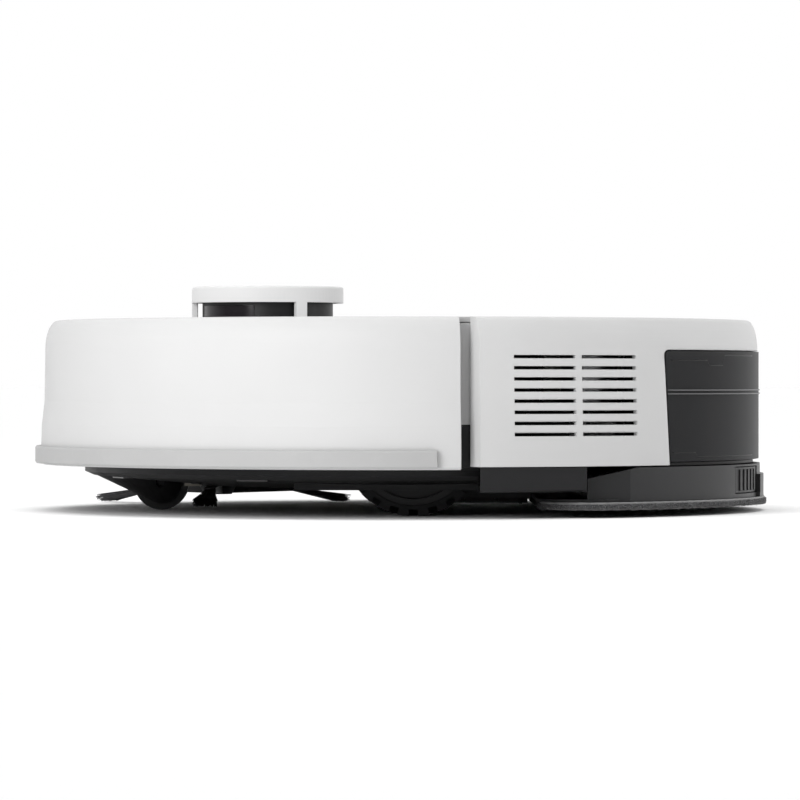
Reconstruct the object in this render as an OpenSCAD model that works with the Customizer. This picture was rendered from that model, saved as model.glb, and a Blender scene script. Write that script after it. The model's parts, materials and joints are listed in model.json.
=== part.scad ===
// Robot vacuum and mop with a laser turret, a slide-out water tank and a clip-on mop plate.
// +X is the way it drives, +Y its left side, +Z up. The origin is on the floor under its middle.

/* [Body] */
// Overall diameter, over the bumper strip and the mop pad
body_d = 353; // [345:1:380]
// Height of the flat top above the floor
top_z = 91.4; // [90:0.1:112]
// Wall thickness of the moulded shells
wall = 2.5; // [2:0.1:3]
// Height of the flat underside above the floor
base_z = 12; // [11:0.1:13]
// Gap between covers that meet or move past each other
seam = 0.4; // [0.3:0.05:0.6]

/* [Bumper] */
// Travel of the bumper when something is hit
bumper_travel = 3; // [2:0.5:3]
// How far the bumper's ends lie behind the middle of the body
bumper_back = 27.8; // [20:0.1:30]
// Height of the bumper's lower edge
bumper_z = 22.3; // [22:0.1:24]
// Height of the soft strip round the bumper
strip_h = 8.3; // [6:0.1:12]

/* [Turret] */
// Distance of the turret ahead of the middle
turret_x = 64; // [60:1:68]
// Diameter of the turret's cap
cap_d = 73.6; // [70:0.1:80]
// Height of the turret's cap
cap_h = 7.9; // [6:0.1:10]
// Height of the open slot that the laser looks through
slot_h = 8.7; // [7:0.1:12]
// Diameter of the spinning drum
drum_d = 63.4; // [58:0.1:64]

/* [Drive wheels] */
// Wheel diameter over the tread
wheel_d = 67; // [63:0.1:68]
// Width of the tyre
tyre_w = 20; // [16:0.5:22]
// Distance between the outer faces of the two tyres
track_out = 230; // [226:1:236]
// How far the wheels are behind the middle
wheel_back = 6.5; // [0:0.5:8]
// How far a wheel's arm drops when the robot is lifted, in degrees
arm_drop = 30; // [20:1:32]

/* [Caster] */
// Diameter of the caster wheel
caster_d = 26.4; // [24:0.1:27]
// Width of the caster wheel
caster_w = 12; // [8:0.5:14]
// Distance from the swivel axis back to the wheel's axle
caster_trail = 10.5; // [8:0.5:12]

/* [Brushes] */
// Diameter of the main brush over its bristles
roller_d = 35; // [30:0.5:36]
// Length of the main brush
roller_len = 128; // [100:1:130]
// Reach of the side brush
side_reach = 73; // [55:1:74]

/* [Water and mop] */
// How far behind the middle the tank begins
tank_front = 122; // [121:0.5:130]
// Height of the tank's top
tank_top = 76.3; // [72:0.1:77]
// Wall thickness of the tank
tank_wall = 2; // [1.5:0.1:2.5]
// Thickness of the mop pad
pad_t = 3.5; // [2.5:0.1:3.5]

/* [Lid] */
// Length of the lid over the dust bin
lid_len = 140; // [130:1:142]
// Width of the lid
lid_w = 168; // [150:1:172]

/* [Hidden] */
$fn = 96;

fit = 0.05;                       // radial running clearance of a shaft in its bore
corner_step = 7.5;                // degrees between the points of a shell's rounded edge
cut = 1;                          // how far a cut runs past the face it starts from
body_r = body_d / 2;
floor_z = base_z + wall;          // inner face of the floor

// Radii of the round body, from the outside in
shell_r = body_r - 1.3;           // widest ring of the rear shell
bumper_r = body_r - 2.9;          // widest ring of the bumper
wall_r = body_r - 13.5;           // inner wall between bumper and works
nose_r = body_r - 24;             // front edge of the underside
flat_r = body_r - 86.5;           // where the underside starts to rise
cover_r = body_r - 20;            // top cover, where the bumper goes round it
lip_r = cover_r + bumper_travel + 0.5;
deck_r = body_r - 7.5;            // deck under the rear part of the top cover

// Heights
nose_z = base_z + 5.2;            // underside at the front edge
nose_top_z = base_z + 9.5;
function underside(r) = base_z + (nose_z - base_z) * max(0, (r - flat_r) / (nose_r - 4 - flat_r));
mid_z = 42.6;                     // joint between the base and the inner wall
deck_top = top_z - 6.4;
deck_bottom = deck_top - 2;
shell_z = 23.6;                   // lower edge of the rear shell
tray_z = shell_z - 0.3;           // underside of the tray that the tank slides on
tray_top = tray_z + 1.5;
cover_bottom = top_z - wall;

// Steps along the body, all as X
shell_x = -36.3;                  // front end of the rear shell
shell_in_x = -32;                 // the same end where it turns inwards
step_x = -85;                     // where the underside steps up over the mop plate
tank_x = -tank_front;
slot_x = tank_x + 2.5;            // wall in front of the tank
frame_x = -45;                    // where the deck widens

// Drive wheels: the arm swings on a pin behind the axle, so a dropping wheel moves away from
// the side brush
wheel_r = wheel_d / 2;
wheel_x = -wheel_back;
tread = 3;
rim_r = wheel_r - 4.9;
tyre_y = track_out / 2 - tyre_w;  // inner face of a tyre
pivot_x = wheel_x - 40;
pivot_z = wheel_r + 6.5;
pivot_r = 8;
pin_r = 2.5;
arm_y = tyre_y - 19;
arm_w = 16;
axle_r = 4;
coil_r = 5;                       // torsion spring round the pivot pin
coil_pitch = 1.4;
coils = 4;
well_gap = 2.5;
well_wall = 2;
drop_x = pivot_x + (wheel_x - pivot_x) * cos(arm_drop) + (wheel_r - pivot_z) * sin(arm_drop);
well_x0 = drop_x - wheel_r - well_gap;
well_x1 = wheel_x + wheel_r + 19.5;
arm_x0 = pivot_x - pivot_r - well_gap;
arm_y1 = arm_y + arm_w + 2;
arm_top = pivot_z + pivot_r + well_gap;
well_y0 = arm_y - 2;
well_y1 = track_out / 2 + well_gap;
well_top = wheel_d + 2;
lugs = 22;

// Caster
caster_r = caster_d / 2;
swivel_r = 24;
cup_r = max(swivel_r + 1, norm([caster_trail + caster_r, caster_w / 2]) + 0.5);
swivel_x = nose_r - cup_r - 1.5;
swivel_z = 17.6;
swivel_top = caster_d + 1.6;
stem_r = 4;
stem_top = swivel_top + 10;
caster_x = swivel_x - caster_trail;
cheek_r = 10;
cheek_t = 3;
caster_pin_r = 2;

// Side brush
side_turn = atan2(97, 92);
side_x = (body_r - 42.81) * cos(side_turn);
side_y = -(body_r - 42.81) * sin(side_turn);
side_hub_r = 11;
side_hub_z = 5;
side_hub_top = underside(norm([side_x, side_y]) - side_hub_r) - 0.5;
side_shaft_r = 3;
side_boss_z = base_z + 9.5;
side_boss_r = 17;
side_gear_r = 12.5;
side_angles = [87, 207, 327];
side_arm = 44;                    // reach of the moulded arms that hold the tufts
side_tip_z = 0.3;
side_tip_h = 6;                   // height of a tuft's spread end
side_arm_z = 6.2;

// Main brush
roller_r = roller_d / 2;
roller_x = -38;
roller_z = roller_r + 2.9;
core_r = 8;
roller_tunnel = roller_r + 1.5;
roller_pin_r = 3;
house_x0 = -62;
house_x1 = -14;
house_half = roller_len / 2 + 6;
house_top = roller_z + roller_tunnel + wall;
mouth_w = 60;
mouth_z0 = 27;
mouth_z1 = 36;
bar_ys = [-48, -16, 16, 48];
bar_w = 2.4;
bar_gap = 5.4;
bar_z = 4.4;
guard_z = 7;

// Battery and boards
bat_x0 = 24;
bat_x1 = 92;
bat_half = 50;
bat_z0 = base_z + 4.2;
bat_z1 = 52;
door_edge = 2;
board_z = 55;
board_t = 1.6;
board_half = 60;
board_x1 = bat_x1 + 8;
post_r = 3;

// Turret works
lds_z = 62;
lds_r = 46;
lds_post_r = 43;
plate_t = 2.5;
drum_r = drum_d / 2;
cap_r = cap_d / 2;
cap_z = top_z + slot_h;
cap_wall = 2;
foot_t = 2.7;
foot_sweep = 9.2;
bearing_r = 12;
pulley_r = 36;
motor_pulley_r = 8;
belt_reach = 50;
belt_z = 75;
belt_h = 3;
belt_t = 1.2;
belt_gap = 0.3;
window_start = 18;
window_sweep = 62;

// Dust bin, fan and the rear works
bin_x0 = slot_x + 3.5;
bin_x1 = -66;
bin_y0 = -88;
bin_y1 = 62;
bin_wall = 2;
bin_top = deck_bottom - 0.5;
filter_t = 12;
fan_x = -88;
fan_y = 102;
fan_r = 27;
fan_z = 32;
fan_h = 20;
impeller_r = 21;
vent_rows = 8;
vent_pitch = 5.03;
vent_z0 = 38.1;
vent_h = 1.5;
vent_spans = [[52, 80.4], [83.3, 108.8]];
duct_a0 = 90 + asin(49.8 / shell_r);
duct_a1 = 90 + asin(112.6 / shell_r);

// Lid hinge
lid_t = 2.5;
hinge_x = 9;
hinge_z = top_z - 4.4;
lid_x1 = hinge_x + 3.6;
lid_x0 = lid_x1 - lid_len;
lid_corner = 14;
hinge_corner = 2;
knuckle_r = 2.4;
knuckle_w = 8;
knuckle_y = 60;
lid_pin_r = 1.2;
ear_w = 3;
ear_r = knuckle_r - 0.6;          // small enough for the lid to turn round it
swing_gap = 2.5;

// Buttons
button_x = body_r - 54.5;
button_y = 16;
button_r = 7;
button_travel = 0.8;

// Tank
tank_z = tray_top + 0.3;
tank_r = body_r - 2.4;
weld_z = tank_z + 31;
weld_h = 2.3;
plug_r = 9;
plug_y = 60;
plug_z = 50;
plug_x = tank_x;                  // the filler neck stands up to the tank's foremost plane
tank_rake = 2.5;                  // how far the front edge leans from bottom to top
tank_corner = 2.3;
latch_w = 28;
latch_h = 13;
latch_z = 50.6;
latch_travel = 3;
latch_pocket_x = -(body_r - 10.5);

// Mop plate
plate_r = body_r - 1.8;
plate_z = 6.9;
plate_top = tray_z - 0.4;
plate_x = step_x - 0.5;
plate_slope_x = -109;
plate_skin = 3;
flange_x = -63;
flange_t = 1.5;
pad_x = -65;
pad_corner = 22;
pad_half = body_r - 26;
key_start = 155;
key_sweep = 12.5;
key_z0 = 9.6;
key_z1 = 21.6;

// Part of a ring: radii, heights and angles
module arc_ring(r0, r1, z0, z1, a0, sweep) {
  rotate([0, 0, a0])
    rotate_extrude(angle = sweep)
      translate([r0, z0]) square([r1 - r0, z1 - z0]);
}

// A box given by its lowest and highest corners
module span(low, high) {
  translate(low) cube(high - low);
}

// A cylinder along Y between two Y values
module rod_y(r, x, z, y0, y1) {
  translate([x, y0, z]) rotate([-90, 0, 0]) cylinder(r = r, h = y1 - y0);
}

// An upright cylinder
module rod_z(r, x, y, z0, z1) {
  translate([x, y, z0]) cylinder(r = r, h = z1 - z0);
}

// Flat outline with rounded corners, as exact arcs
module rounded(low, high, r) {
  translate([low[0] + r, low[1]]) square([high[0] - low[0] - 2 * r, high[1] - low[1]]);
  translate([low[0], low[1] + r]) square([high[0] - low[0], high[1] - low[1] - 2 * r]);
  for (x = [low[0] + r, high[0] - r], y = [low[1] + r, high[1] - r])
    translate([x, y]) circle(r = r);
}

// Quarter of an ellipse from its top to its outer end
function corner(cr, cz, a, b) =
  [for (t = [0 : corner_step : 90]) [cr + a * sin(t), cz + b * cos(t)]];

// Left and right pair
module both() {
  children();
  mirror([0, 1, 0]) children();
}

// Fixed shell

front_profile = [
  [0, base_z], [flat_r, base_z], [nose_r - 4, nose_z], [nose_r, nose_z + 1.8],
  [nose_r, nose_top_z], [wall_r, nose_top_z + 1.5], [wall_r, mid_z], [wall_r - wall, mid_z],
  [wall_r - wall, nose_top_z + 4], [nose_r - wall, nose_top_z + 3], [nose_r - 6, nose_z + 3.6],
  [flat_r, floor_z], [0, floor_z]
];
rear_profile = [
  [0, base_z], [body_r - 8.5, base_z], [body_r - 4, base_z + 0.8], [body_r - 2.7, shell_z],
  [body_r - 5.2, shell_z], [body_r - 6.3, base_z + 3.2], [body_r - 11.5, floor_z], [0, floor_z]
];

// The whole floor and lower wall, before anything is cut out of it
module floor_solid() {
  intersection() {
    rotate_extrude() polygon(front_profile);
    span([shell_x, -body_r, 0], [body_r, body_r, mid_z + cut]);
  }
  intersection() {
    rotate_extrude() polygon(rear_profile);
    span([step_x, -body_r, 0], [shell_x, body_r, mid_z]);
  }
}

// The tray under the tank and the step in front of the mop plate
module rear_tray() {
  intersection() {
    cylinder(r = body_r - 5.2, h = tray_top);
    union() {
      span([-body_r, -body_r, tray_z], [step_x + wall, body_r, tray_top]);
      span([step_x, -body_r, base_z], [step_x + wall, body_r, tray_top]);
    }
  }
}

module wheel_well() {
  span([well_x0 - well_wall, well_y0 - well_wall, base_z],
       [well_x1 + well_wall, well_y1 + well_wall, well_top + well_wall]);
  span([arm_x0 - well_wall, well_y0 - well_wall, base_z],
       [well_x0, arm_y1 + well_wall, arm_top + well_wall]);
}

module wheel_well_inside() {
  span([well_x0, well_y0, base_z - cut], [well_x1, well_y1, well_top]);
  span([arm_x0, well_y0, base_z - cut], [well_x0 + cut, arm_y1, arm_top]);
  rod_y(pin_r, pivot_x, pivot_z, well_y0 - well_wall - cut, well_y0 + cut);
}

module caster_cup() {
  intersection() {
    union() {
      rod_z(cup_r + wall, swivel_x, 0, base_z, swivel_top + 0.6 + wall);
      rod_z(stem_r + 4, swivel_x, 0, swivel_top, stem_top + 2);
    }
    rotate_extrude()
      polygon([[0, base_z], [flat_r, base_z], [nose_r - 4, nose_z], [nose_r, nose_z + 1.8],
               [nose_r, nose_top_z], [wall_r - wall, nose_top_z + 4],
               [wall_r - wall, top_z], [0, top_z]]);
  }
}

module caster_cup_inside() {
  rod_z(cup_r, swivel_x, 0, base_z - cut, swivel_top + 0.6);
  rod_z(stem_r + fit, swivel_x, 0, swivel_top, stem_top + 2 + cut);
}

cliff_r = body_r - 36.5;
cliff_angles = [-62, -22, 22, 62];
cliff_z = nose_z - 1;
module cliff_blocks(z0, z1) {
  for (a = cliff_angles)
    rotate([0, 0, a]) span([cliff_r - 4, -8, z0], [cliff_r + 4, 8, z1]);
}

contact_x = bat_x1 + door_edge + 1.5;
contact_y = cup_r - 9;            // clear of the cup that the caster turns in
contact_size = [7.5, 16];
module contact_blocks(z0, z1) {
  both() span([contact_x, contact_y, z0],
              [contact_x + contact_size[0], contact_y + contact_size[1], z1]);
}

screw_spots = [[4, 24], [4, 58], [-72, 40], [-72, 100]];
screw_r = 1.5;

module chassis_base() color([0.13, 0.13, 0.14]) {
  difference() {
    union() {
      floor_solid();
      rear_tray();
      both() wheel_well();
      caster_cup();
      rod_z(side_boss_r, side_x, side_y, nose_z + 1.4, side_boss_z);
      for (x = [bat_x0 + 4, bat_x1 + 4])
        both() rod_z(post_r, x, bat_half + 6, floor_z - 1, board_z);
    }
    both() wheel_well_inside();
    caster_cup_inside();
    battery_hole();
    span([house_x0 + 3, -house_half + wall, base_z - cut],
         [house_x1 - 3, house_half - wall, floor_z + cut]);
    rod_z(side_shaft_r + 2, side_x, side_y, base_z, side_boss_z + cut);
    cliff_blocks(base_z, nose_z + 8);
    contact_blocks(base_z - cut, floor_z + 4);
    for (s = screw_spots) both() rod_z(screw_r, s[0], s[1], base_z - cut, floor_z + cut);
  }
}

module battery_hole() {
  span([bat_x0 - door_edge, -bat_half - door_edge, base_z - cut],
       [bat_x1 + door_edge, bat_half + door_edge, bat_z0]);
}

module battery_door() color([0.16, 0.16, 0.17]) {
  intersection() {
    floor_solid();
    battery_hole();
  }
  for (x = [bat_x0 + 6, bat_x1 - 22])
    span([x, -bat_half + 8, floor_z - 0.5], [x + 3, bat_half - 8, bat_z0]);
}

module mid_frame() color([0.78, 0.78, 0.78]) {
  difference() {
    union() {
      intersection() {
        difference() {
          rod_z(wall_r, 0, 0, mid_z, cover_bottom - 0.4);
          rod_z(wall_r - wall, 0, 0, mid_z - cut, deck_bottom);
          rod_z(wall_r - wall, 0, 0, deck_top, cover_bottom);
        }
        span([frame_x, -body_r, mid_z - cut], [body_r, body_r, cover_bottom]);
      }
      intersection() {
        rod_z(deck_r, 0, 0, deck_bottom, deck_top);
        span([slot_x, -body_r, deck_bottom], [frame_x, body_r, deck_top]);
      }
      intersection() {
        rod_z(deck_r, 0, 0, tray_top, deck_top);
        union() {
          span([slot_x, -body_r, tray_top], [slot_x + wall, body_r, deck_top]);
          span([-body_r, -body_r, tank_top + 0.3], [slot_x + wall, body_r, tank_top + 2.3]);
        }
      }
      for (p = [[140, 40], [20, 120], [95, 105], [-100, 128]])
        both() rod_z(4, p[0], p[1], deck_bottom, cover_bottom);
      both() lid_ears();
    }
    rod_z(drum_r + 1.8, turret_x, 0, deck_bottom - cut, deck_top + cut);
    span([bin_x0 - 2, bin_y0 - 2, deck_bottom - cut],
         [bin_x1 + 4, bin_y1 + filter_t + 2, deck_top + cut]);
    both() span([hinge_x - 4, knuckle_y - knuckle_w / 2 - seam, deck_bottom - cut],
                [hinge_x + 5, knuckle_y + knuckle_w / 2 + seam, deck_top + cut]);
    span([hinge_x + ear_r + 0.1, -lid_w / 2 - 1, deck_bottom - cut],
         [lid_x1 + swing_gap, lid_w / 2 + 1, deck_top + cut]);
    rod_y(lid_pin_r, hinge_x, hinge_z, -lid_w / 2, lid_w / 2);
  }
}

module lid_ears() {
  for (y = [knuckle_y - knuckle_w / 2 - seam - ear_w, knuckle_y + knuckle_w / 2 + seam]) {
    span([hinge_x - ear_r, y, deck_bottom], [hinge_x + ear_r, y + ear_w, hinge_z]);
    rod_y(ear_r, hinge_x, hinge_z, y, y + ear_w);
  }
}

shell_outer = concat(corner(body_r - 8, top_z - 14.4, 5, 14.4),
                     [[body_r - 2, 54.8], [shell_r, 27.4], [shell_r, shell_z]]);
shell_inner = concat([[shell_r - wall, shell_z], [shell_r - wall, 27.4], [body_r - 2 - wall, 54.8]],
                     [for (t = [90 : -corner_step : 0])
                       [body_r - 8 + (5 - wall) * sin(t),
                        top_z - 14.4 + (14.4 - wall) * cos(t)]]);

// Plan of the rear shell: its front ends turn inwards
module rear_plan() {
  polygon([[-body_r - cut, -body_r], [shell_x, -body_r], [shell_x, 6 - body_r],
           [shell_in_x, 14.5 - body_r], [shell_in_x, body_r - 14.5], [shell_x, body_r - 6],
           [shell_x, body_r], [-body_r - cut, body_r]]);
}

module vent_slots() {
  for (x = vent_spans, i = [0 : vent_rows - 1])
    rotate([0, 0, 90 + asin(x[0] / shell_r)])
      rotate_extrude(angle = asin(x[1] / shell_r) - asin(x[0] / shell_r))
      translate([0, vent_z0 + i * vent_pitch])
        polygon([[deck_r - 2, -vent_h / 2], [body_r + cut, -vent_h / 2],
                 [body_r + cut, vent_h / 2 + 1.6], [shell_r - wall / 2, vent_h / 2],
                 [deck_r - 2, vent_h / 2]]);
}

module top_cover() color([0.93, 0.93, 0.93]) {
  difference() {
    union() {
      rod_z(cover_r, 0, 0, cover_bottom, top_z);
      intersection() {
        rotate_extrude() polygon(concat([[0, top_z]], shell_outer, shell_inner, [[0, cover_bottom]]));
        translate([0, 0, shell_z - cut]) linear_extrude(height = top_z) rear_plan();
      }
      intersection() {
        rotate_extrude()
          polygon(concat([[wall_r + 0.3, cover_bottom]], shell_outer, [[wall_r + 0.3, shell_z]]));
        translate([0, 0, shell_z - cut]) linear_extrude(height = top_z)
          difference() {
            rear_plan();
            translate([-wall, 0]) rear_plan();
          }
      }
    }
    rotate([90, 0, 0]) linear_extrude(height = 2 * body_r + cut, center = true) {
      tank_outline(-seam);
      polygon([[-body_r - 9, 0], [tank_x + seam - tank_rake, 0],
               [tank_x + seam - tank_rake, tank_z], [-body_r - 9, tank_z]]);
    }
    vent_slots();
    lid_hole();
    rod_z(drum_r + 1.3, turret_x, 0, cover_bottom - cut, top_z + cut);
    both() rod_z(button_r + 0.3, button_x, button_y, cover_bottom - cut, top_z + cut);
  }
}

// Plan of the lid: large corners at the back, small ones along the hinge
module lid_plan(low, high, r) {
  rounded(low, high, r);
  rounded([low[0] + r, low[1]], high, hinge_corner);
}

module lid_hole() {
  translate([0, 0, cover_bottom - cut]) linear_extrude(height = wall + 2 * cut)
    lid_plan([lid_x0 - seam, -lid_w / 2 - seam], [lid_x1 + swing_gap, lid_w / 2 + seam], lid_corner);
  rod_z(10, lid_x0, 0, cover_bottom - cut, top_z + cut);
}

module lid() color([0.92, 0.92, 0.92]) {
  difference() {
    union() {
      translate([0, 0, top_z - lid_t]) linear_extrude(height = lid_t)
        lid_plan([lid_x0, -lid_w / 2], [lid_x1, lid_w / 2], lid_corner - seam);
      both() {
        rod_y(knuckle_r, hinge_x, hinge_z, knuckle_y - knuckle_w / 2, knuckle_y + knuckle_w / 2);
        span([hinge_x - knuckle_r, knuckle_y - knuckle_w / 2, hinge_z],
             [hinge_x + knuckle_r, knuckle_y + knuckle_w / 2, top_z - lid_t / 2]);
      }
    }
    both() rod_y(lid_pin_r + fit, hinge_x, hinge_z, knuckle_y - knuckle_w, knuckle_y + knuckle_w);
  }
}

module pivot_pins() color([0.7, 0.7, 0.72]) {
  both() {
    rod_y(lid_pin_r, hinge_x, hinge_z, knuckle_y - knuckle_w / 2 - seam - ear_w,
          knuckle_y + knuckle_w / 2 + seam + ear_w);
    rod_y(pin_r, pivot_x, pivot_z, well_y0 - well_wall, arm_y + arm_w + 1);
  }
}

// Power and electronics

module battery() color([0.2, 0.25, 0.3])
  span([bat_x0, -bat_half, bat_z0], [bat_x1, bat_half, bat_z1]);

module main_board() color([0.05, 0.3, 0.15]) {
  span([bat_x0, -board_half, board_z], [board_x1, board_half, board_z + board_t]);
  for (c = [[40, -40, 14], [40, 36, 10], [70, -44, 12], [78, 40, 9]])
    span([c[0], c[1] - c[2] / 2, board_z + board_t], [c[0] + c[2], c[1] + c[2] / 2, board_z + 4]);
}

module charge_contacts() color([0.8, 0.7, 0.5]) contact_blocks(base_z - 0.1, floor_z + 2);

module cliff_sensors() color([0.08, 0.06, 0.08]) cliff_blocks(cliff_z, nose_z + 6);

speaker_x = -68.5;
speaker_y = -124;

module speaker() color([0.2, 0.2, 0.2]) {
  difference() {
    rod_z(13, speaker_x, speaker_y, floor_z, floor_z + 11);
    rod_z(10.5, speaker_x, speaker_y, floor_z + 8, floor_z + 11 + cut);
  }
}

module screws() color([0.6, 0.6, 0.62]) {
  for (s = screw_spots) both() {
    rod_z(screw_r * 2, s[0], s[1], base_z - 1.2, base_z);
    rod_z(screw_r, s[0], s[1], base_z, floor_z + 3);
  }
}

// Bumper

bumper_half = 90 + asin(bumper_back / bumper_r);
bumper_outer = concat(corner(body_r - 10.9, top_z - 13.4, 6, 13.4),
                      [[body_r - 4.5, 52.6], [body_r - 3.2, 41.6], [bumper_r, 31.4],
                       [bumper_r, bumper_z + 1], [bumper_r - 1, bumper_z]]);
bumper_inner = concat([[bumper_r - wall, bumper_z], [bumper_r - wall, 31.4],
                       [body_r - 3.2 - wall, 41.6], [body_r - 4.5 - wall, 52.6]],
                      [for (t = [90 : -corner_step : 0])
                        [body_r - 10.9 + (6 - wall) * sin(t),
                         top_z - 13.4 + (13.4 - wall) * cos(t)]]);
window_z0 = 42;
window_z1 = 52;
dock_sweep = 4;
wall_sweep = 5;
wall_window_a = -76;

// Radius of the leaning outer face at the height of the windows
function wall_face(z) = body_r - 3.2 - (z - 41.6) * 1.3 / 11;

module window_pane(grow, a, sweep)
  rotate([0, 0, a]) rotate_extrude(angle = sweep)
    polygon([[wall_face(window_z0) - 1.3 - grow, window_z0],
             [wall_face(window_z0) - 0.1 + grow, window_z0],
             [wall_face(window_z1) - 0.1 + grow, window_z1],
             [wall_face(window_z1) - 1.3 - grow, window_z1]]);

module window_rings(grow) {
  window_pane(grow, -dock_sweep / 2, dock_sweep);
  window_pane(grow, wall_window_a, wall_sweep);
}

module bumper() color([0.93, 0.93, 0.93]) {
  difference() {
    rotate([0, 0, -bumper_half]) rotate_extrude(angle = 2 * bumper_half)
      polygon(concat([[lip_r, cover_bottom], [lip_r, top_z]], bumper_outer, bumper_inner));
    window_rings(3);
  }
}

module sensor_windows() color([0.06, 0.03, 0.04]) window_rings(0);

module bumper_strip() color([0.75, 0.75, 0.75]) {
  strip_half = 90 + asin((bumper_back - 10.8) / body_r);
  rotate([0, 0, -strip_half]) rotate_extrude(angle = 2 * strip_half)
    translate([0, bumper_z + 0.6])
      polygon([[bumper_r, 0.4], [body_r - 0.6, 0], [body_r, 0.8], [body_r, strip_h - 0.8],
               [body_r - 0.6, strip_h], [bumper_r, strip_h]]);
}

module bumper_switches() color([0.1, 0.1, 0.1]) {
  for (a = [-44, 36])
    arc_ring(wall_r, wall_r + 1.8, 55, 64, a, 6);
}

module bumper_springs() color([0.7, 0.7, 0.7]) {
  for (a = [-80, -14, 8, 74]) {
    arc_ring(wall_r + 1, wall_r + 1.5, 48, 52, a, 6);
    arc_ring(wall_r, wall_r + 1, 48, 52, a, 1);
  }
}

// Buttons

module button(y, tint) color(tint) {
  rod_z(button_r, button_x, y, cover_bottom - 0.5, top_z + 0.3);
  rod_z(button_r + 1, button_x, y, cover_bottom - 1.5, cover_bottom - 0.3);
  rod_z(2, button_x, y, deck_top + button_travel + 0.3, cover_bottom - 1.5);
}

module power_button() button(-button_y, [0.9, 0.9, 0.9]);

module home_button() button(button_y, [0.9, 0.9, 0.9]);

// Turret

module lds_base() color([0.15, 0.15, 0.16]) {
  difference() {
    union() {
      rod_z(lds_r, turret_x, 0, lds_z, lds_z + plate_t);
      rod_z(motor_pulley_r + 5, turret_x - belt_reach, 0, lds_z, lds_z + plate_t);
      rod_z(bearing_r + 4, turret_x, 0, lds_z, belt_z - 2);
      for (a = [60, 140, 220, 300])
        translate([turret_x, 0, 0]) rotate([0, 0, a])
          rod_z(2.5, lds_post_r, 0, lds_z, deck_bottom);
    }
    rod_z(bearing_r + fit, turret_x, 0, lds_z + 1, belt_z + cut);
    rod_z(1 + 2 * fit, turret_x - belt_reach, 0, lds_z - cut, lds_z + plate_t + cut);
  }
}

module lds_motor() color([0.75, 0.75, 0.76])
  rod_z(8, turret_x - belt_reach, 0, lds_z - 16, lds_z);

module motor_pulley() color([0.6, 0.6, 0.6]) {
  x = turret_x - belt_reach;
  rod_z(1, x, 0, lds_z + 0.2, belt_z);
  rod_z(motor_pulley_r, x, 0, belt_z, belt_z + belt_h);
  rod_z(motor_pulley_r + 1.5, x, 0, belt_z - 1.3, belt_z - 0.3);
  rod_z(2, x, 0, belt_z - 0.3, belt_z + 0.1);
}

module belt_outline(grow) {
  hull() {
    translate([turret_x, 0]) circle(r = pulley_r + grow, $fn = 64);
    translate([turret_x - belt_reach, 0]) circle(r = motor_pulley_r + grow, $fn = 32);
  }
}

module drive_belt() color([0.08, 0.08, 0.08]) {
  translate([0, 0, belt_z + 0.2]) linear_extrude(height = belt_h - 0.4)
    difference() {
      belt_outline(belt_gap + belt_t);
      belt_outline(belt_gap);
    }
}

module window_pocket(grow) {
  translate([turret_x, 0, 0])
    arc_ring(drum_r - 1.2 - grow, drum_r + 0.3 + grow, top_z + 2, top_z + 7.2,
             window_start, window_sweep);
}

module lds_rotor() color([0.12, 0.12, 0.13]) {
  translate([turret_x, 0, 0])
    difference() {
      rotate_extrude()
        polygon([[0, lds_z + 1.4], [bearing_r, lds_z + 1.4], [bearing_r, belt_z - 1.3],
                 [pulley_r + 2, belt_z - 1.3], [pulley_r + 2, belt_z - 0.3], [pulley_r, belt_z],
                 [pulley_r, belt_z + belt_h], [pulley_r - 1, belt_z + belt_h + 1],
                 [drum_r - 4, belt_z + belt_h + 1], [drum_r - 4, deck_bottom - 2],
                 [drum_r, deck_bottom - 2], [drum_r, cap_z + 3], [drum_r - 2, cap_z + 3.6],
                 [0, cap_z + 3.6]]);
      rod_z(drum_r - 8, 0, 0, belt_z + belt_h, top_z + 2);
      rod_z(drum_r - 4, 0, 0, top_z + 1, cap_z + 1.6);
      translate([-turret_x, 0, 0]) window_pocket(2);
    }
}

module rotor_window() color([0.02, 0.02, 0.03]) window_pocket(0);

module turret_cap() color([0.93, 0.93, 0.93]) {
  translate([turret_x, 0, 0]) {
    rotate_extrude()
      polygon([[0, cap_z + cap_h - cap_wall], [cap_r - foot_t, cap_z + cap_h - cap_wall],
               [cap_r - foot_t, cap_z], [cap_r, cap_z], [cap_r, cap_z + cap_h - 1],
               [cap_r - 0.3, cap_z + cap_h - 0.3], [cap_r - 1, cap_z + cap_h],
               [0, cap_z + cap_h]]);
    for (a = [0, 118, 242])
      arc_ring(cap_r - foot_t, cap_r, top_z, cap_z + 1, a - foot_sweep / 2, foot_sweep);
  }
}

// Drive wheels: s is 1 on the left and -1 on the right

module side(s) {
  if (s > 0) children();
  else mirror([0, 1, 0]) children();
}

module arm(s) color([0.18, 0.18, 0.19]) side(s) {
  difference() {
    union() {
      rod_y(pivot_r, pivot_x, pivot_z, arm_y, arm_y + arm_w);
      rod_y(20, wheel_x, wheel_r, arm_y, arm_y + arm_w);
      span([pivot_x, arm_y, wheel_r - 8], [wheel_x, arm_y + arm_w, pivot_z + pivot_r]);
      rod_y(axle_r, wheel_x, wheel_r, arm_y + arm_w, track_out / 2 - 3);
    }
    rod_y(pin_r + fit, pivot_x, pivot_z, arm_y - cut, arm_y + arm_w + cut);
    rod_y(coil_r + 0.8, pivot_x, pivot_z, arm_y - cut, arm_y + coils * coil_pitch);
  }
}

module spring(s) color([0.7, 0.7, 0.72]) side(s) {
  for (i = [0 : coils - 1])
    translate([0, arm_y + i * coil_pitch, 0])
      difference() {
        rod_y(coil_r, pivot_x, pivot_z, 0, coil_pitch - 0.3);
        rod_y(coil_r - 1.2, pivot_x, pivot_z, -cut, coil_pitch + cut);
      }
  span([pivot_x + coil_r - 0.4, arm_y - 0.9, pivot_z - 0.6], [pivot_x + 14, arm_y, pivot_z + 0.6]);
}

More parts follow.
